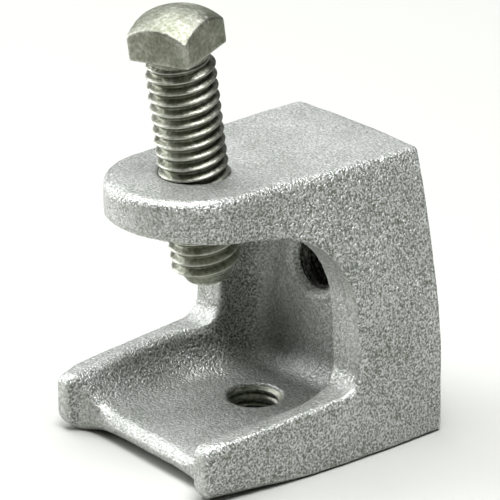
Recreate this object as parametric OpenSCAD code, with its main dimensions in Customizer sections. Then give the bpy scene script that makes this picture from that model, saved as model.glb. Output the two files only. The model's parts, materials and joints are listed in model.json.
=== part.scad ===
// Beam clamp: a C-shaped malleable iron casting and one square-head set screw.
// Millimetres. X is the width, Y the depth with the throat open towards -Y,
// Z is up. The origin is the middle of the base.

/* [Casting] */
// depth from the front of the nose to the crown of the back face
depth = 42.4; // [41:0.2:45]
// height of the casting
height = 40.3; // [39.5:0.1:43]
// width of the base, at the back corners
base_w = 38.2; // [36:0.2:40]
// width of the top face, at the back corners
top_w = 25.9; // [25:0.1:27]
// how far each side face turns inwards towards the front, in degrees
side_taper = 4.6; // [3.5:0.1:5.5]
// radius of the crowned back face
back_r = 150; // [90:1:180]
// rounding of the outer edges
edge_r = 1; // [0.5:0.1:1.4]

/* [Top jaw] */
// radius of the nose of the top jaw
nose_r = 11.2; // [10.8:0.1:12]
// thickness of the jaw at its nose
jaw_t = 5.1; // [4.6:0.1:6]
// how much the jaw gets thicker towards the wall, in degrees
jaw_slope = 7.4; // [5:0.1:9]
// radius of the upper inner corner of the throat
throat_r = 9.1; // [7:0.1:10]

/* [Bottom jaw] */
// distance from the nose front back to the front of the two horns
horn_set = 0.7; // [0.5:0.1:2.5]
// distance from the horns back to the front edge of the floor
notch = 2; // [1.5:0.1:3]
// height of the side lips at the front
lip_front = 8.1; // [7.5:0.1:9]
// height of the side lips at the wall
lip_back = 9.6; // [9:0.1:10.5]
// thickness of the floor
floor_t = 4; // [3.6:0.1:4.6]
// thickness of the side webs at their lips
web_t = 3.1; // [2.8:0.1:3.5]

/* [Back wall] */
// distance from the back crown to the front edges of the side webs
wall_d = 15.6; // [15:0.1:16.4]
// thickness of the wall behind the hollow
wall_t = 8.8; // [7.8:0.1:9.2]
// thickness of the side webs at the wall
wall_web = 5.7; // [5:0.1:6]

/* [Tapped holes] */
// wall radius of both empty tapped holes, their thread's minor radius
tap_r = 3.27; // [3.2:0.01:3.35]
// size of the lead-in at each mouth
lead_in = 0.5; // [0.3:0.05:0.6]
// bottom hole, distance behind the middle of the base
base_hole_y = 1.9; // [0:0.1:4]
// back hole, height above the base
back_hole_z = 21.1; // [18:0.1:23]

/* [Set screw] */
// major diameter of the thread
screw_d = 9.525; // [9.4:0.005:9.6]
// running clearance of the shank in the jaw, on the radius
screw_gap = 0.05; // [0.02:0.01:0.09]
// lean of the screw's axis, head towards the front, in degrees
screw_lean = 8.25; // [6:0.05:10]
// where the axis meets the top face, in front of the middle
screw_set = 8.8; // [7.5:0.1:10]
// length under the head
screw_len = 33.6; // [31.7:0.1:36]
// bare length between the head and the top face
screw_out = 17.6; // [15:0.1:19]
// head size across the flats
head_af = 9.53; // [9.2:0.01:9.6]
// head height at the middle of its crown
head_h = 6.15; // [5.4:0.05:7]
// radius of the crown
crown_r = 9.4; // [9:0.1:12]
// turn of the head about the axis, in degrees
head_turn = 17.5; // [0:0.5:90]
// length of the separate point, and radius of its end
point_len = 1.9; // [1.6:0.1:2.4]
point_r = 3.1; // [2.6:0.1:3.6]

/* [Hidden] */
$fn = 96;
far = 60;                               // longer than the whole part
half_d = depth / 2;
base_hw = base_w / 2;
top_hw = top_w / 2;
nose_y = nose_r - half_d;               // centre of the nose
corner_y = half_d - (back_r - sqrt(back_r * back_r - top_hw * top_hw));
jaw_hw = nose_r;                        // half width where the nose begins
jaw_taper = atan((top_hw - jaw_hw) / (corner_y - nose_y));
jaw_lean = 3;                           // lean of the jaw's sides
lean = 14.8;                            // lean of the upper side faces
lean_z = 18;                            // height where the lean begins
lean_r = 54.8;                          // rounding between upright and lean
horn_y = horn_set - half_d;
floor_y = horn_y + notch;
wall_y = half_d - wall_d;
hollow_y = half_d - wall_t;
low_r = 2.5;                            // lower inner corner of the throat
floor_r = 4;                            // corner between floor and wall
hollow_r = 9.3;                         // top of the hollow in the wall
hollow_z = 22.5;                        // centre height of that round top
horn_r = 1.5;                           // rounding of the horns, front ends
screw_r = screw_d / 2;
neck_r = 3.9;
neck_len = 1;
corner_cut = 6.6;                       // radius over the head's corners
iron = [0.66, 0.67, 0.66];
zinc = [0.74, 0.73, 0.66];

// points of an arc, from angle a to angle b
function arc(cx, cy, r, a, b, n = 12) =
    [for (i = [0:n]) let (t = a + (b - a) * i / n)
        [cx + r * cos(t), cy + r * sin(t)]];

// height of the lip and of the jaw's underside at depth y
function lip_z(y) = lip_front
    + (lip_back - lip_front) * (y - horn_y) / (wall_y - horn_y);
function under_z(y) = height - jaw_t - tan(jaw_slope) * (y + half_d);

// lays a YZ outline across the width, and an XZ outline along the depth
module across(w = far) {
    rotate([90, 0, 90]) linear_extrude(w, center = true) children();
}
module along() {
    rotate([90, 0, 0]) linear_extrude(2 * far, center = true) children();
}

// the C seen from the side: one closed outline with its throat
module c_outline() {
    slope = atan((lip_back - lip_front) / (wall_y - horn_y));
    cy = wall_y - throat_r;
    cz = under_z(cy) - throat_r / cos(jaw_slope);
    ly = wall_y - low_r;
    polygon(concat(
        arc(horn_y + horn_r, horn_r, horn_r, 270, 180),
        arc(horn_y + horn_r, lip_z(horn_y) - horn_r, horn_r, 180, 90 + slope),
        arc(ly, lip_z(ly) + low_r, low_r, 270, 360, 8),
        arc(cy, cz, throat_r, 0, 90 - jaw_slope, 20),
        [[-half_d, under_z(-half_d)], [-half_d, height],
         [half_d, height], [half_d, 0]]));
}

// the front view: upright below, leaning inwards above, for the right side
module side_outline() {
    turn = lean_r * tan(lean / 2);
    z0 = lean_z - turn;
    polygon(concat([[-far, 0]],
        arc(base_hw - edge_r, edge_r, edge_r, 270, 360, 6),
        arc(base_hw - lean_r, z0, lean_r, 0, lean, 8),
        arc(top_hw - edge_r * tan(45 + lean / 2), height - edge_r, edge_r,
            lean, 90, 6),
        [[-far, height]]));
}

// everything between the two tapering side faces
module between_sides() {
    intersection_for (m = [0, 1])
        mirror([m, 0, 0]) translate([0, corner_y, 0])
            rotate([0, 0, -side_taper]) along() side_outline();
}

// the wall and the bottom jaw
module wall_and_base() {
    intersection() {
        across() c_outline();
        between_sides();
        translate([0, half_d - back_r, 0]) cylinder(h = height, r = back_r);
        union() {
            translate([-far, -far, 0]) cube([2 * far, 2 * far, height / 2]);
            translate([-far, -4, 0]) cube([2 * far, far, height]);
        }
    }
}

// the jaw's sides, leaning a little and closing towards the nose
module jaw_side() {
    drop = tan(jaw_lean) * height;
    mirror_at = top_hw - edge_r;
    translate([0, corner_y, 0]) rotate([0, 0, -jaw_taper]) along()
        polygon(concat([[-far, 0], [top_hw + drop, 0]],
            arc(mirror_at, height - edge_r, edge_r, jaw_lean, 90, 6),
            [[-far, height]]));
}

// the nose: a round plug with the same lean and the same rounded top edge
module nose() {
    translate([0, nose_y, 0]) rotate_extrude()
        polygon(concat([[0, 0], [nose_r + tan(jaw_lean) * height, 0]],
            arc(nose_r - edge_r, height - edge_r, edge_r, jaw_lean, 90, 6),
            [[0, height]]));
}

// the top jaw
module jaw() {
    intersection() {
        across() c_outline();
        translate([-far / 2, -far / 2, height / 2 + 8])
            cube([far, far, height / 2 - 8]);
        translate([0, half_d - back_r, 0]) cylinder(h = height, r = back_r);
        union() {
            nose();
            intersection() {
                intersection_for (m = [0, 1]) mirror([m, 0, 0]) jaw_side();
                translate([-far / 2, nose_y, 0]) cube([far, far, height]);
            }
        }
    }
}

// the hollow between the side webs: the dished floor and the wall's recess
module hollow() {
    front_hw = base_hw - tan(side_taper) * (corner_y - floor_y) - web_t;
    back_hw = base_hw - tan(side_taper) * (corner_y - wall_y) - web_t;
    rim_hw = back_hw + web_t - wall_web;
    intersection() {
        across() polygon(concat([[-far, floor_t]],
            arc(hollow_y - floor_r, floor_t + floor_r, floor_r, 270, 360),
            arc(hollow_y - hollow_r, hollow_z, hollow_r, 0, 105, 20),
            [[-far, lip_back + 1]]));
        linear_extrude(height) for (m = [0, 1]) mirror([m, 0])
            polygon([[0, floor_y - 9], [front_hw - 0.6, floor_y - 9],
                [front_hw, floor_y], [back_hw, wall_y - low_r],
                [rim_hw, wall_y + 0.5], [rim_hw - 2, hollow_y + 1],
                [0, hollow_y + 1]]);
        along() for (m = [0, 1]) mirror([m, 0])
            polygon(concat([[0, 0], [rim_hw - 2.6, 0], [rim_hw - 1.2, floor_t],
                [back_hw + 0.4, lip_back + 0.6], [back_hw, lip_back + 3],
                [rim_hw - 0.6, hollow_z - 1.5]],
                arc(rim_hw - 6.4, hollow_z + 5, 4, 20, 90, 8),
                [[0, hollow_z + hollow_r]]));
    }
}

// the gap between the horns, in front of the floor, and its rounded lower edge
module horn_gap() {
    hw = base_hw - tan(side_taper) * (corner_y - floor_y) - web_t;
    bevel = 1.6;
    round_r = 2;
    translate([0, 0, -1]) linear_extrude(lip_back + 2)
        polygon([[-hw - 0.4, -far], [-hw, floor_y - bevel],
            [bevel - hw, floor_y], [hw - bevel, floor_y],
            [hw, floor_y - bevel], [hw + 0.4, -far]]);
    across(2 * (hw - bevel)) difference() {
        translate([floor_y - 1, -1]) square(round_r + 1);
        translate([floor_y + round_r, round_r]) circle(r = round_r);
    }
}

// a tapped hole of length len along Z from the origin, with its two lead-ins
module tapped(len) {
    translate([0, 0, -1]) cylinder(h = len + 2, r = tap_r);
    for (m = [0, 1]) translate([0, 0, m * len]) mirror([0, 0, m])
        translate([0, 0, -1])
            cylinder(h = 1 + lead_in, r1 = tap_r + lead_in + 1, r2 = tap_r);
}

// puts its children on the screw's axis, with +Z towards the head
module on_screw_axis() {
    translate([0, -screw_set, height]) rotate([screw_lean, 0, 0]) children();
}

module casting() {
    color(iron) difference() {
        union() {
            wall_and_base();
            jaw();
        }
        hollow();
        horn_gap();
        translate([0, base_hole_y, 0]) tapped(floor_t);
        translate([0, hollow_y, back_hole_z]) rotate([-90, 0, 0])
            tapped(wall_t);
        on_screw_axis() cylinder(h = 4 * jaw_t, r = screw_r + screw_gap,
            center = true);
    }
}

// the head, its neck and the threaded shank down to the point
module set_screw() {
    color(zinc) on_screw_axis() {
        translate([0, 0, screw_out]) intersection() {
            rotate([0, 0, head_turn])
                translate([-head_af / 2, -head_af / 2, 0])
                    cube([head_af, head_af, head_h]);
            cylinder(h = head_h, r = corner_cut);
            translate([0, 0, head_h - crown_r]) sphere(r = crown_r);
        }
        translate([0, 0, screw_out - neck_len])
            cylinder(h = neck_len + 0.5, r = neck_r);
        translate([0, 0, screw_out - screw_len + point_len])
            cylinder(h = screw_len - point_len - neck_len, r = screw_r);
    }
}

// the plain round point at the shank's end
module set_screw_point() {
    color(zinc) on_screw_axis() translate([0, 0, screw_out - screw_len])
        cylinder(h = point_len, r1 = point_r, r2 = screw_r);
}

casting();
set_screw();
set_screw_point();
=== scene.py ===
"""Looks of a beam clamp: a C-shaped cast body and its square-head set screw.

Lengths in the shape functions are millimetres in the part's own frame: X is the
width, Y the depth with the throat open towards -Y, and Z is up.  Meshes are
turned to metres when they are made.
"""

import json
import math

import bmesh
import bpy
import numpy as np
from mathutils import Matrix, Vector, noise


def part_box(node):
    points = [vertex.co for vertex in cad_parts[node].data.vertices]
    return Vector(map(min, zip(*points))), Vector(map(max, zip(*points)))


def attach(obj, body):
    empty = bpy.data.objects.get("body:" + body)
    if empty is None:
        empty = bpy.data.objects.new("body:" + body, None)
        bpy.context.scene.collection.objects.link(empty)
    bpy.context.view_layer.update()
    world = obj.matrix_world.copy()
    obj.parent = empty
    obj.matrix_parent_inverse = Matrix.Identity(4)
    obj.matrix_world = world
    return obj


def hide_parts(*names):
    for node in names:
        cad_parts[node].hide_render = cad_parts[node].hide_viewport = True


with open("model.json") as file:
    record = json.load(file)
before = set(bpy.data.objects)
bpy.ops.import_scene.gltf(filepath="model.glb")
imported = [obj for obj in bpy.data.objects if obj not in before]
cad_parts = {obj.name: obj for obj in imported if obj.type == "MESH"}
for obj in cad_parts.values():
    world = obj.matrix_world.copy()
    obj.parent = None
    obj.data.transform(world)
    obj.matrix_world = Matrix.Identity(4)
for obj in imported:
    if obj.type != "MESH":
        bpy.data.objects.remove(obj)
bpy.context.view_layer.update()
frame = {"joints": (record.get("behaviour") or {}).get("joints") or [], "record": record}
record = frame["record"]

MM = 0.001

# ---------------------------------------------------------------- dimensions
CAST_LO, CAST_HI = (np.array(c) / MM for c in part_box("casting"))
HEIGHT = CAST_HI[2]
FRONT_Y, BACK_Y = CAST_LO[1], CAST_HI[1]
BASE_HW = CAST_HI[0]                   # half width of the base at its widest
INSET = 0.06                           # keeps the cast relief inside the CAD box


def mount(name):
    """Place and radius of one of the record's mounts, in mm."""
    for m in record["mounts"]:
        if m["name"] == name:
            return np.array(m["pos_m"]) / MM, m.get("dims", {}).get("r_mm")


BASE_TAP, TAP_R = mount("base_tap")
BACK_TAP, _ = mount("back_tap")
JOINT = {j["name"]: j for j in frame["joints"]}
AXIS_AT = np.array(JOINT["screw_turn"]["pos_m"]) / MM
AXIS_UP = -np.array(JOINT["screw_turn"]["axis"], float)
AXIS_UP /= np.linalg.norm(AXIS_UP)
AXIS_SIDE = np.cross(AXIS_UP, (1, 0, 0))  # the screw frame's Y, with X across

# casting
BACK_R = 150                           # crown of the back face
TOP_HW = 12.9                          # half width of the top, at the back
NOSE_R = 11.25                         # round nose of the top jaw
NOSE_Y = FRONT_Y + NOSE_R
JAW_T = 5.3                            # jaw thickness at the nose
JAW_SLOPE = math.radians(7.4)          # the jaw's underside drops to the wall
THROAT_R = 9.1                         # upper inner corner of the throat
LIP_FRONT, LIP_BACK = 8.3, 9.8         # height of the side lips
LOW_R = 2.5                            # lower inner corner of the throat
HORN_Y = FRONT_Y + 0.7                 # front of the two horns
FLOOR_Y = HORN_Y + 2.3                 # front edge of the floor
HORN_T = 2.9                           # width of the horns
FLOOR_T = 4.0                          # thickness of the floor
WALL_Y = BACK_Y - 15.6                 # front edges of the side webs
HOLLOW_Y = BACK_Y - 8.8                # back of the hollow
HOLLOW_TOP, HOLLOW_R = 31.8, 9.3       # height and round top of the hollow
DISH_R = 4.0                           # fillets all round the dished floor
WEB_T, WALL_WEB = 3.1, 5.7             # side webs at the lips and at the wall
MID_Z = 20                             # between the bottom jaw and the top jaw
UPRIGHT_Z = 11.5                       # the sides are upright up to here
ARCH_H, ARCH_HW = 1.1, 12.5            # low arch under the floor's front edge

# the empty tapped holes, 5/16-18
TAP_MAJOR = 3.97
TAP_PITCH = 25.4 / 18
TAP_CREST = 0.05                       # rounding of the thread's crest
BORE_R = TAP_MAJOR - 0.1               # the plain hole behind a thread's surface
MOUTH_FLARE, BACK_FLARE = 0.2, 0.9     # chamfers at the mouths of the holes

# screw, 3/8-16
SCREW_R = 4.7625
PITCH = 25.4 / 16
THREAD_DEPTH, THREAD_CREST = 0.86, 0.13
CLEARANCE = 0.05                       # between the shank and the jaw's bore
SCREW_LEN, SCREW_OUT = 33.6, 17.6      # under the head, and above the top face
HEAD_AF, HEAD_H = 9.53, 6.14           # across the flats, and height
CROWN_R, CORNER_R = 9.4, 6.6           # head's domed top and cut corners
HEAD_TURN = math.radians(17.5)
NECK_R, NECK_LEN = 3.9, 1.0            # bare neck under the head
POINT_LEN, POINT_R = 1.9, 3.1
POINT_EDGE = 0.5                       # rounding of the point's rim
SCREW_LOW = SCREW_OUT - SCREW_LEN + POINT_LEN   # where thread and point meet

# mesh fineness
CAST_CELL, HEAD_CELL = 0.35, 0.17      # grid cells of the two distance fields
SCREW_COLUMNS, SCREW_ROWS = 96, 14     # faces round a thread and along a pitch
TAP_COLUMNS, TAP_ROWS = 72, 12


# ------------------------------------------------------- distance field tools
def both(a, b, r):
    """Where a and b are both inside, with the outer edge rounded to radius r."""
    return (np.minimum(-r, np.maximum(a, b))
            + np.hypot(np.maximum(a + r, 0), np.maximum(b + r, 0)))


def either(a, b, r):
    """Where a or b is inside, with a fillet of radius r between them."""
    return -both(-a, -b, r)


def without(a, b, r):
    """Inside a but outside b, with the edge between them rounded to radius r."""
    return both(a, -b, r)


def step(t, lo, hi):
    """0 below lo, 1 above hi and smooth between."""
    s = np.clip((t - lo) / (hi - lo), 0, 1)
    return s * s * (3 - 2 * s)


def surface_net(field, lo, hi, cell):
    """Closed quad mesh of field == 0, one vertex to each cell that it crosses."""
    lo, hi = np.array(lo, float), np.array(hi, float)
    n = np.ceil((hi - lo) / cell).astype(int) + 1
    axes = [lo[k] + cell * np.arange(n[k]) for k in range(3)]
    f = field(axes[0][:, None, None], axes[1][None, :, None],
              axes[2][None, None, :])
    inside = f < 0
    total = np.zeros((*(n - 1), 3))
    count = np.zeros(n - 1)
    crossings = []
    for k in range(3):
        a = [slice(None)] * 3
        b = [slice(None)] * 3
        a[k], b[k] = slice(0, -1), slice(1, None)
        # grid edges along axis k that cross the surface, and where they do
        fa, fb = f[tuple(a)], f[tuple(b)]
        cross = inside[tuple(a)] != inside[tuple(b)]
        at = np.argwhere(cross)
        t = fa[cross] / (fa[cross] - fb[cross])
        place = at.astype(float)
        place[:, k] += t
        # each crossing counts towards the vertices of the four cells around it
        others = [m for m in range(3) if m != k]
        ring = []
        for da, db in ((0, 0), (1, 0), (1, 1), (0, 1)):
            cell_at = at.copy()
            cell_at[:, others[0]] -= da
            cell_at[:, others[1]] -= db
            ring.append(cell_at)
            ok = ((cell_at >= 0) & (cell_at < n - 1)).all(axis=1)
            index = tuple(cell_at[ok].T)
            np.add.at(total, index, place[ok])
            np.add.at(count, index, 1)
        crossings.append((k, inside[tuple(a)][cross], ring))
    used = count > 0
    number = -np.ones(n - 1, int)
    number[used] = np.arange(used.sum())
    points = lo + cell * total[used] / count[used][:, None]
    faces = []
    for k, starts_inside, ring in crossings:
        # one face joins those four vertices, turned to look outwards
        quad = np.stack([number[tuple(c.T)] for c in ring], axis=1)
        flip = starts_inside if k == 1 else ~starts_inside
        quad[flip] = quad[flip][:, ::-1]
        faces.append(quad)
    return points, np.concatenate(faces)


def settle(field, points, cell, rounds=3):
    """Moves net vertices onto the surface itself, along the field's gradient."""
    h, least = cell / 4, 0.2           # least: keeps flat spots of the field calm
    for _ in range(rounds):
        f = field(*points.T)
        grad = np.stack([(field(*(points + d).T) - field(*(points - d).T)) / (2 * h)
                         for d in np.eye(3) * h], axis=1)
        size = np.maximum((grad ** 2).sum(axis=1), least)
        move = -(f / size)[:, None] * grad
        length = np.linalg.norm(move, axis=1, keepdims=True)
        points = points + move * np.minimum(1, cell / np.maximum(length, 1e-9))
    return points


# ------------------------------------------------------------ the cast body
def half_width(y, z):
    """Half width of the body: crowned in plan, leaning inwards above."""
    crown, crown_y, draft, lean_power = 0.0021, 14, 0.012, 1.45
    plan = BASE_HW - INSET - crown * (y - crown_y) ** 2
    lean = np.maximum(z - UPRIGHT_Z, 0) / (HEIGHT - UPRIGHT_Z)
    # a waist up to 1 mm deep, low down by the wall's front edge
    waist = (step(y, -20, 0) * step(-y, -17, -8)
             * step(z, 2, 12) * (1 - 0.7 * step(z, 14, 22)))
    body = plan - (BASE_HW - TOP_HW) * lean ** lean_power - draft * z - waist
    jaw = NOSE_R + (TOP_HW - NOSE_R) * (y - NOSE_Y) / (BACK_Y - NOSE_Y)
    in_jaw = step(-y, -5, 9) * step(z, 26, 31)
    return body * (1 - in_jaw) + jaw * in_jaw


def on_axis(x, y, z):
    """Height along the screw's axis above the top face, and distance from it."""
    dy, dz = y - AXIS_AT[1], z - AXIS_AT[2]
    along = dy * AXIS_UP[1] + dz * AXIS_UP[2]
    side = dy * AXIS_SIDE[1] + dz * AXIS_SIDE[2]
    return along, np.hypot(x, side)


def throat_field(y, z):
    """The C's opening: lips below, wall behind, the sloped jaw above."""
    run = (LIP_BACK - LIP_FRONT) / (WALL_Y - HORN_Y)
    lip = LIP_FRONT + run * (y - HORN_Y)
    under = HEIGHT - JAW_T - math.tan(JAW_SLOPE) * (y - FRONT_Y)
    low = both(y - WALL_Y, lip - z, LOW_R)
    return both(low, (z - under) * math.cos(JAW_SLOPE), THROAT_R)


def hollow_field(x, y, z):
    """The dish between the side webs and the recess in the wall above it."""
    slope = 0.42                       # how fast the webs thicken downwards
    true = 0.93                        # makes the leaning sides a true distance
    web = WEB_T + (WALL_WEB - WEB_T) * step(y, WALL_Y - 9, WALL_Y + 0.6)
    flank = slope * np.maximum(LIP_FRONT + 1 - z, 0)
    sides = (x - half_width(y, z) + web + flank) * true
    back = both(y - HOLLOW_Y, z - HOLLOW_TOP, HOLLOW_R)
    dish = both(back, FLOOR_T - z, DISH_R)
    return both(dish, sides, DISH_R)


def casting_field(x, y, z):
    """Signed distance to the casting's surface, negative inside."""
    x = np.abs(x)
    far = BACK_Y - FRONT_Y             # further than any surface
    true = 0.98                        # makes the leaning sides a true distance
    hw = half_width(y, z)
    side = (x - hw) * true
    back = y - (BACK_Y - INSET - x * x / (2 * BACK_R))
    nose = np.where(y < NOSE_Y, np.hypot(x, y - NOSE_Y) - NOSE_R, side)
    upper = z > MID_Z
    outline = both(np.where(upper, nose, side), back, 0.5)
    horns = np.where(upper, -far, HORN_Y - y)
    outline = both(outline, horns, 0.7)
    # the top face's rim is rounder on the jaw than on the wall
    body = both(outline, z - HEIGHT + INSET, 1.4 - 0.7 * step(y, -8, 12))
    # the underside, with an arch and rounder edges towards the front
    arch = ARCH_H * np.maximum(1 - (x / ARCH_HW) ** 4, 0) * step(-y, 13, 18.5)
    body = both(body, arch - z, 0.8 + 2.2 * step(-y, 2, 19))
    # the lips are rounder at the horns, the jaw's lower rim a little sharper
    at_horns = step(-y, 16, 20.4) * ~upper
    body = without(body, throat_field(y, z),
                   0.65 + 1.15 * at_horns - 0.15 * step(z, 28, 34))
    # the hollow's rim is rounder round the dish than in the wall
    body = without(body, hollow_field(x, y, z), 0.6 + 0.6 * step(-z, -11, -9))
    # the gap between the horns; the floor's front edge is rounder in the middle
    gap = np.where(upper, far, both(y - FLOOR_Y, x - hw + HORN_T, 2.4))
    body = without(body, gap, 0.6 + 1.4 * step(-x, -13.5, -10))
    for r in tapped_holes(x, y, z):
        body = without(body, r - BORE_R, 0.3)
    # the screw's bore goes through the top jaw only
    bore_depth = 12
    along, r = on_axis(x, y, z)
    bore = both(r - SCREW_R - CLEARANCE, -along - bore_depth, 0.1)
    return without(body, bore, 0.12)


def tapped_holes(x, y, z):
    """Distance from the axes of the two tapped holes, which grows beyond the
    faces that they open on; the back one is flared."""
    base = np.hypot(x, y - BASE_TAP[1])
    back = np.hypot(x, z - BACK_TAP[2])
    flare = np.clip(BACK_FLARE - (y - HOLLOW_Y), 0, BACK_FLARE)
    return np.maximum(base, z - FLOOR_T), np.maximum(back - flare, WALL_Y + 2 - y)


# ----------------------------------------------------------------- threads
def thread_drop(s, pitch, depth, crest):
    """How far a 60 degree thread's surface lies below its crest at a distance s
    along the axis from the crest's middle; crest and root are softened."""
    root_soft = 0.12
    s = np.abs((s / pitch + 0.5) % 1 - 0.5) * pitch
    drop = (np.sqrt(s * s + crest * crest) - crest) * math.sqrt(3)
    return -np.logaddexp(-drop / root_soft, -depth / root_soft) * root_soft


def screw_thread(s):
    """Radius of the set screw's thread at a distance s from a crest."""
    return SCREW_R - thread_drop(s, PITCH, THREAD_DEPTH, THREAD_CREST)


def helical_tube(radius_at, lo, hi, pitch, columns, rows):
    """Tube whose rows of faces follow a right-hand helix, as a bmesh in its own
    frame (Z along the axis).  Its radius is radius_at(height, distance from a
    crest); each pitch has that many rows."""
    turns = int(math.ceil((hi - lo) / pitch)) + 2
    j = np.arange(turns * rows + rows + 1)
    i = np.arange(columns)
    z = lo - pitch * 1.5 + pitch * (j[None, :] / rows + i[:, None] / columns)
    theta = np.broadcast_to((2 * math.pi * i / columns)[:, None], z.shape)
    s = np.broadcast_to(pitch * j[None, :] / rows, z.shape)
    r = radius_at(np.clip(z, lo, hi), s)
    points = np.stack([r * np.cos(theta), r * np.sin(theta), z], axis=-1)
    bm = bmesh.new()
    verts = [[bm.verts.new(p) for p in column] for column in points]
    for a in range(columns):
        b, lift = (a + 1, 0) if a + 1 < columns else (0, rows)
        for k in range(turns * rows):
            bm.faces.new((verts[a][k], verts[b][k + lift],
                          verts[b][k + 1 + lift], verts[a][k + 1]))
    for height, up in ((lo, -1), (hi, 1)):
        everything = bm.verts[:] + bm.edges[:] + bm.faces[:]
        bmesh.ops.bisect_plane(bm, geom=everything, plane_co=(0, 0, height),
                               plane_no=(0, 0, up), clear_outer=True)
    return bm


# -------------------------------------------------------------- mesh making
def axis_to_frame(p):
    """Points in the screw's own frame, moved to the part's frame."""
    p = np.asarray(p, float)
    return (AXIS_AT + p[:, :1] * np.array((1, 0, 0))
            + p[:, 1:2] * AXIS_SIDE + p[:, 2:3] * AXIS_UP)


def bm_arrays(bm):
    """The points and faces of a bmesh."""
    bm.verts.index_update()
    return (np.array([v.co[:] for v in bm.verts]),
            [[v.index for v in f.verts] for f in bm.faces])


def make_object(name, parts, smooth_angle=None):
    """One object out of (points in mm, faces) parts.  It is smooth all over, or
    sharp where its faces meet at more than smooth_angle degrees."""
    points, faces, base = [], [], 0
    for p, f in parts:
        points.append(np.asarray(p, float))
        faces += [[int(i) + base for i in face] for face in f]
        base += len(p)
    mesh = bpy.data.meshes.new(name)
    mesh.from_pydata((np.concatenate(points) * MM).tolist(), [], faces)
    mesh.validate()
    mesh.polygons.foreach_set("use_smooth", [True] * len(mesh.polygons))
    obj = bpy.data.objects.new(name, mesh)
    bpy.context.scene.collection.objects.link(obj)
    if smooth_angle is not None:
        mesh.set_sharp_from_angle(angle=math.radians(smooth_angle))
    return obj


def relief(points, scale, depth, octaves, seed):
    """Smooth noise with grains about scale wide: a height for every point."""
    out = np.empty(len(points))
    for k, p in enumerate(points):
        q = Vector(p) / scale + Vector((seed, -seed, seed * 2))
        out[k] = noise.fractal(q, 1.0, 2.0, octaves, noise_basis="PERLIN_ORIGINAL")
    return out * depth


def field_normals(field, points, h=0.05):
    """Outward unit normals of the field's surface."""
    grad = np.stack([field(*(points + d).T) - field(*(points - d).T)
                     for d in np.eye(3) * h], axis=1)
    return grad / np.maximum(np.linalg.norm(grad, axis=1, keepdims=True), 1e-9)


def thread_liner(radius, lo, hi, pitch, columns, rows):
    """The inside of a threaded hole: an open tube that faces its axis."""
    points, quads = bm_arrays(helical_tube(radius, lo, hi, pitch, columns, rows))
    return points, [q[::-1] for q in quads]


def tap_liner(length, flare):
    """The thread of a tapped hole, from 0 to length along Z; both ends run out
    into the metal around the hole."""
    depth = TAP_MAJOR - TAP_R
    overlap, trim = 0.15, 0.1          # into the metal, and short of each mouth

    def radius(z, s):
        drop = thread_drop(s, TAP_PITCH, depth, TAP_CREST)
        thread = TAP_MAJOR - np.minimum(depth, drop)
        run_in = BORE_R + overlap + np.maximum(flare - z,
                                               MOUTH_FLARE - (length - z))
        return np.maximum(thread, np.minimum(run_in, TAP_MAJOR + flare))
    return thread_liner(radius, trim, length - trim, TAP_PITCH,
                        TAP_COLUMNS, TAP_ROWS)


def jaw_liner():
    """The jaw's thread, in step with the screw's, in the screw's own frame."""
    play, overlap = 0.08, 0.02         # off the screw's thread, and into the metal
    bottom, top = SCREW_LOW + 6 * PITCH, -0.9

    def radius(z, s):
        return np.minimum(screw_thread(s) + play, SCREW_R + CLEARANCE + overlap)
    return thread_liner(radius, bottom, top, PITCH, SCREW_COLUMNS, SCREW_ROWS)


def make_casting():
    """The casting with its relief and the threads of its three holes."""
    margin = 3 * CAST_CELL
    points, faces = surface_net(casting_field, CAST_LO - margin,
                                CAST_HI + margin, CAST_CELL)
    points = settle(casting_field, points, CAST_CELL)
    normals = field_normals(casting_field, points)
    grain = relief(points, scale=1.1, depth=0.035, octaves=2, seed=0.0)
    waves = relief(points, scale=4.5, depth=0.06, octaves=1, seed=7.0)
    # the machined holes and the CAD's box stay true
    keep = np.ones(len(points))
    for r in tapped_holes(*points.T):
        keep *= step(r, TAP_MAJOR + 0.3, TAP_MAJOR + 1)
    _, r = on_axis(*points.T)
    keep *= step(r, SCREW_R + 0.6, SCREW_R + 1.4)
    points = points + normals * (np.minimum(grain + waves, INSET) * keep)[:, None]
    points = np.clip(points, CAST_LO, CAST_HI)
    base, base_quads = tap_liner(FLOOR_T, MOUTH_FLARE)
    back, back_quads = tap_liner(BACK_Y - HOLLOW_Y, BACK_FLARE)
    back = np.stack([back[:, 0], HOLLOW_Y + back[:, 2],
                     BACK_TAP[2] - back[:, 1]], axis=1)
    jaw, jaw_quads = jaw_liner()
    obj = make_object("casting_body", [
        (points, faces), (base + (0, BASE_TAP[1], 0), base_quads),
        (back, back_quads), (axis_to_frame(jaw), jaw_quads)])
    # the back hole's thread takes the near-black material, painted shade of the hole
    iron_slot, zinc_slot, hole_shade_slot = 0, 1, 2
    slots = ([iron_slot] * len(faces) + [zinc_slot] * len(base_quads)
             + [hole_shade_slot] * len(back_quads) + [zinc_slot] * len(jaw_quads))
    obj.data.polygons.foreach_set("material_index", slots)
    return obj


def head_field(x, y, z):
    """Signed distance to the head and its neck, in the screw's own frame."""
    c, s = math.cos(HEAD_TURN), math.sin(HEAD_TURN)
    u, v = np.abs(c * x + s * y), np.abs(c * y - s * x)
    z = z - SCREW_OUT
    r = np.hypot(x, y)
    square = both(u - HEAD_AF / 2, v - HEAD_AF / 2, 0.3)
    square = both(square, r - CORNER_R, 0.25)
    crown = np.hypot(r, z - HEAD_H + CROWN_R) - CROWN_R
    head = both(square, crown, 0.25)
    head = both(head, -z, 0.35)
    # the neck reaches a little way into both the shank and the head
    into_shank, into_head = 0.3, 1
    neck = both(r - NECK_R, -z - NECK_LEN - into_shank, 0.1)
    neck = both(neck, z - into_head, 0.1)
    return either(head, neck, 0.5)


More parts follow.
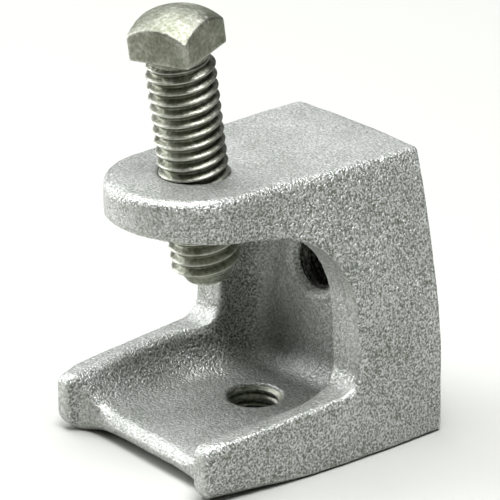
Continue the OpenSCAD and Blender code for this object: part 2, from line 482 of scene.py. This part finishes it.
def make_screw():
    """The threaded shank with its ends closed, and the head with its neck."""
    top = SCREW_OUT - NECK_LEN

    def radius(z, s):
        run_out = NECK_R + 0.05 + (top - z) * 1.1   # the thread fades into the neck
        return np.minimum(screw_thread(s), run_out)
    shank = helical_tube(radius, SCREW_LOW, top, PITCH,
                         SCREW_COLUMNS, SCREW_ROWS)
    for height in (SCREW_LOW, top):
        rim = [e for e in shank.edges if e.is_boundary
               and abs(e.verts[0].co.z - height) < 1e-4]
        bmesh.ops.edgeloop_fill(shank, edges=rim)
    shank, shank_faces = bm_arrays(shank)
    margin = 0.6
    reach = CORNER_R + margin
    head, head_faces = surface_net(
        head_field, (-reach, -reach, top - margin),
        (reach, reach, SCREW_OUT + HEAD_H + margin), HEAD_CELL)
    head = settle(head_field, head, HEAD_CELL)
    obj = make_object("set_screw_body", [(axis_to_frame(shank), shank_faces),
                                         (axis_to_frame(head), head_faces)])
    zinc_slot, satin_slot = 0, 1
    obj.data.polygons.foreach_set(
        "material_index",
        [zinc_slot] * len(shank_faces) + [satin_slot] * len(head_faces))
    return obj


def make_point():
    """The rounded end of the screw, a turned shape up to the thread's root."""
    low = SCREW_OUT - SCREW_LEN
    root = SCREW_R - THREAD_DEPTH
    steps, swell, sharp = 10, 0.8, 50  # swell: the power of the flank's curve
    profile = [(0, low)]
    for t in np.linspace(0, 1, steps):
        a = math.radians(90 * t)
        profile.append((POINT_R - POINT_EDGE * (1 - math.sin(a)),
                        low + POINT_EDGE * (1 - math.cos(a))))
    for t in np.linspace(1 / steps, 1, steps):
        profile.append((POINT_R + (root - POINT_R) * t ** swell,
                        low + POINT_EDGE + (POINT_LEN - POINT_EDGE) * t))
    profile.append((0, low + POINT_LEN))
    angles = np.linspace(0, 2 * math.pi, SCREW_COLUMNS, endpoint=False)
    bm = bmesh.new()
    rings = []
    for r, z in profile:
        around = angles if r else angles[:1]
        rings.append([bm.verts.new((r * math.cos(a), r * math.sin(a), z))
                      for a in around])
    for a, b in zip(rings, rings[1:]):
        for i in range(SCREW_COLUMNS):
            j = (i + 1) % SCREW_COLUMNS
            if len(a) == 1:
                bm.faces.new((a[0], b[j], b[i]))
            elif len(b) == 1:
                bm.faces.new((a[i], a[j], b[0]))
            else:
                bm.faces.new((a[i], a[j], b[j], b[i]))
    points, faces = bm_arrays(bm)
    return make_object("set_screw_end", [(axis_to_frame(points), faces)], sharp)


# --------------------------------------------------------------- materials
class Nodes:
    """Short hand for building a node material."""

    def __init__(self, name):
        self.mat = bpy.data.materials.new(name)
        self.mat.use_nodes = True
        self.tree = self.mat.node_tree
        self.shader = self.tree.nodes["Principled BSDF"]

    def add(self, kind, inputs=None, **props):
        node = self.tree.nodes.new(kind)
        for key, value in props.items():
            setattr(node, key, value)
        for key, value in (inputs or {}).items():
            if isinstance(value, bpy.types.NodeSocket):
                self.tree.links.new(value, node.inputs[key])
            else:
                node.inputs[key].default_value = value
        return node

    def noise(self, at, scale, detail, rough):
        return self.add("ShaderNodeTexNoise",
                        {"Vector": at, "Scale": scale, "Detail": detail,
                         "Roughness": rough}).outputs["Fac"]

    def ramp(self, fac, stops):
        node = self.add("ShaderNodeValToRGB", {"Fac": fac})
        bar = node.color_ramp
        while len(bar.elements) < len(stops):
            bar.elements.new(0.5)
        for element, (at, colour) in zip(bar.elements, stops):
            element.position = at
            element.color = (*colour, 1)
        return node.outputs["Color"]

    def math(self, op, a, b=0.0):
        return self.add("ShaderNodeMath", {0: a, 1: b}, operation=op).outputs[0]

    def remap(self, value, lo, hi, to_lo, to_hi):
        return self.add("ShaderNodeMapRange",
                        {"Value": value, "From Min": lo, "From Max": hi,
                         "To Min": to_lo, "To Max": to_hi}).outputs["Result"]

    def spread(self, fac, lo, hi):
        """A noise, which mostly stays within 0.3 to 0.7, spread over lo to hi."""
        return self.remap(fac, 0.3, 0.7, lo, hi)

    def swing(self, fac, amount):
        """How far fac is from 0.5, times amount."""
        return self.math("MULTIPLY", self.math("SUBTRACT", fac, 0.5), amount)

    def bump(self, height, distance, strength=1.0):
        return self.add("ShaderNodeBump",
                        {"Height": height, "Distance": distance,
                         "Strength": strength}).outputs["Normal"]

    def finish(self, **sockets):
        """Sets the shader's sockets, named with _ for each space."""
        for key, value in sockets.items():
            socket = self.shader.inputs[key.replace("_", " ")]
            if isinstance(value, bpy.types.NodeSocket):
                self.tree.links.new(value, socket)
            else:
                socket.default_value = value
        return self.mat


def cast_material():
    """Zinc-plated cast iron, pebbled on the two sides and finer on the other faces.
    Its colour carries painted shade and painted highlight of the grain: darker in
    the grain's valleys and lighter on its peaks, most of all on the sideways faces."""
    n = Nodes("cast_zinc")
    geometry = n.add("ShaderNodeNewGeometry")
    at = geometry.outputs["Position"]
    facing = n.add("ShaderNodeSeparateXYZ", {0: geometry.outputs["Normal"]})
    sideways = n.math("ABSOLUTE", facing.outputs["X"])
    # how pebbled a face is: the bump's strength, and the contrast of the painted relief
    # shade and highlight in the colour
    pebbling_and_painted_relief = n.remap(sideways, 0.45, 0.9, 0.5, 1.1)
    pebbles = n.noise(at, 3100, 1, 0.5)
    fine = n.noise(at, 5600, 2, 0.6)
    blotch = n.noise(at, 120, 3, 0.5)
    height = n.math("ADD", n.math("MULTIPLY", pebbles, 0.7),
                    n.math("MULTIPLY", fine, 0.3))
    # the colour follows the bump's height: painted shade in the valleys, painted
    # highlight on the peaks; the blotches are random tone
    tone_with_painted_light = n.math("ADD", n.math("ADD", n.swing(height, pebbling_and_painted_relief), 0.5),
                  n.swing(blotch, 0.12))
    colour = n.ramp(tone_with_painted_light, [(0.37, (0.17, 0.19, 0.145)),
                           (0.50, (0.45, 0.46, 0.435)),
                           (0.63, (0.80, 0.805, 0.795))])
    return n.finish(Base_Color=colour, Metallic=0.7,
                    Roughness=n.spread(fine, 0.34, 0.46),
                    Normal=n.bump(height, 0.00045, pebbling_and_painted_relief))


def painted_shade_hole_material():
    """The back hole's thread, near black all over: painted shade inside the hole."""
    n = Nodes("painted_shade_hole")
    at = n.add("ShaderNodeNewGeometry").outputs["Position"]
    fine = n.noise(at, 1800, 3, 0.6)
    # near-black colour: painted shade of the hole's inside
    colour = n.ramp(fine, [(0.4, (0.015, 0.016, 0.013)),
                           (0.7, (0.13, 0.13, 0.115))])
    return n.finish(Base_Color=colour, Metallic=0.9,
                    Roughness=n.spread(fine, 0.3, 0.45),
                    Normal=n.bump(fine, 0.00006))


def screw_material(name, smoothest, roughest):
    """Yellowish zinc on steel, with painted highlight on the crests and edges and
    painted shade in the roots.
    """
    n = Nodes(name)
    geometry = n.add("ShaderNodeNewGeometry")
    at = geometry.outputs["Position"]
    fine = n.noise(at, 1900, 3, 0.6)
    blotch = n.noise(at, 300, 3, 0.55)
    # lighter on convex crests and edges, darker in the thread's roots: painted highlight
    # and painted shade
    painted_edge_light_root_shade = n.remap(geometry.outputs["Pointiness"], 0.46, 0.56, -0.16, 0.22)
    tone_with_painted_light = n.math("ADD", n.math("ADD", n.math("MULTIPLY", fine, 0.5),
                                n.math("MULTIPLY", blotch, 0.5)), painted_edge_light_root_shade)
    colour = n.ramp(tone_with_painted_light, [(0.32, (0.13, 0.135, 0.095)),
                           (0.50, (0.27, 0.28, 0.225)),
                           (0.72, (0.56, 0.56, 0.50))])
    return n.finish(Base_Color=colour, Metallic=1.0,
                    Roughness=n.spread(blotch, smoothest, roughest),
                    Normal=n.bump(fine, 0.00009))


# ------------------------------------------------------------------- scene
FLOOR_GAP = 0.00002                    # the floor lies this far under the part
LIGHT_AIM = Vector((0, 0, 0.02))
LIGHT_COLOUR = (0.975, 0.985, 1)
LIGHTS = (                             # name, place in m, size in m, watts
    ("left", (-0.89, -0.38, 0.13), (0.35, 0.25), 3.5),
    ("upper_left", (-0.80, -0.42, 0.48), (0.35, 0.35), 2.9),
    ("top", (-0.36, -0.14, 0.90), (0.6, 0.6), 8.5),
    ("back", (-0.75, 0.62, 0.42), (0.6, 0.4), 1.0),
    ("right", (0.20, -0.06, 0.94), (0.4, 0.4), 12.5))


def aimed(name, data, at, towards):
    """A light or camera at a place, looking in a direction; all in metres."""
    obj = bpy.data.objects.new(name, data)
    obj.location = at
    obj.rotation_mode = "QUATERNION"
    obj.rotation_quaternion = towards.to_track_quat("-Z", "Y")
    bpy.context.scene.collection.objects.link(obj)
    return obj


def area_light(name, at, size, power):
    """A soft box aimed at the middle of the part."""
    data = bpy.data.lights.new(name, "AREA")
    data.shape = "RECTANGLE"
    data.size, data.size_y = size
    data.energy = power
    data.color = LIGHT_COLOUR
    aimed(name, data, at, LIGHT_AIM - Vector(at))


def make_camera():
    azimuth, elevation = math.radians(49.93), math.radians(22.5)
    distance, target = 0.4457, Vector((0, 0.0010, 0.02622))
    back = Vector((math.sin(azimuth) * math.cos(elevation),
                   -math.cos(azimuth) * math.cos(elevation),
                   math.sin(elevation)))
    data = bpy.data.cameras.new("camera")
    data.lens, data.sensor_width = 233.9, 36
    data.clip_start, data.clip_end = 0.01, 20
    bpy.context.scene.camera = aimed("camera", data,
                                     target + back * distance, -back)


def make_floor():
    """A pale sheet just under the part."""
    bm = bmesh.new()
    bmesh.ops.create_grid(bm, x_segments=8, y_segments=8, size=3)
    mesh = bpy.data.meshes.new("floor")
    bm.to_mesh(mesh)
    bm.free()
    floor = bpy.data.objects.new("floor", mesh)
    floor.location.z = -FLOOR_GAP
    bpy.context.scene.collection.objects.link(floor)
    n = Nodes("pale_floor")
    mesh.materials.append(n.finish(Base_Color=(0.48, 0.483, 0.455, 1),
                                   Roughness=0.8))


def make_world():
    """A soft dome, brightest high up on the left and dim on the right."""
    world = bpy.data.worlds.new("studio")
    world.use_nodes = True
    tree = world.node_tree
    back = tree.nodes["Background"]
    to = tree.nodes.new("ShaderNodeTexCoord")
    dot = tree.nodes.new("ShaderNodeVectorMath")
    dot.operation = "DOT_PRODUCT"
    dot.inputs[1].default_value = Vector((-0.55, 0.15, 0.82)).normalized()
    glow = tree.nodes.new("ShaderNodeMapRange")
    for key, value in (("From Min", -0.3), ("From Max", 1.0),
                       ("To Min", 0.02), ("To Max", 0.6)):
        glow.inputs[key].default_value = value
    tree.links.new(to.outputs["Generated"], dot.inputs[0])
    tree.links.new(dot.outputs["Value"], glow.inputs["Value"])
    tree.links.new(glow.outputs["Result"], back.inputs["Strength"])
    bpy.context.scene.world = world


casting = make_casting()
screw = make_screw()
point = make_point()
# the second material here is the back hole's near-black painted shade
iron, tapped = cast_material(), painted_shade_hole_material()
zinc = screw_material("zinc_steel", 0.38, 0.50)
satin = screw_material("zinc_head", 0.52, 0.62)
for piece, body, node, slot, materials in (
        (casting, "clamp_body", "casting", "cast_iron", (iron, zinc, tapped)),
        (screw, "screw", "set_screw", "zinc_steel", (zinc, satin)),
        (point, "screw_point", "set_screw_point", "zinc_steel", (zinc,))):
    for material in materials:
        piece.data.materials.append(material)
    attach(piece, body)
    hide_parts(node)

make_camera()
make_floor()
make_world()
for light in LIGHTS:
    area_light(*light)
bpy.context.scene.view_settings.view_transform = "Standard"   # no film curve
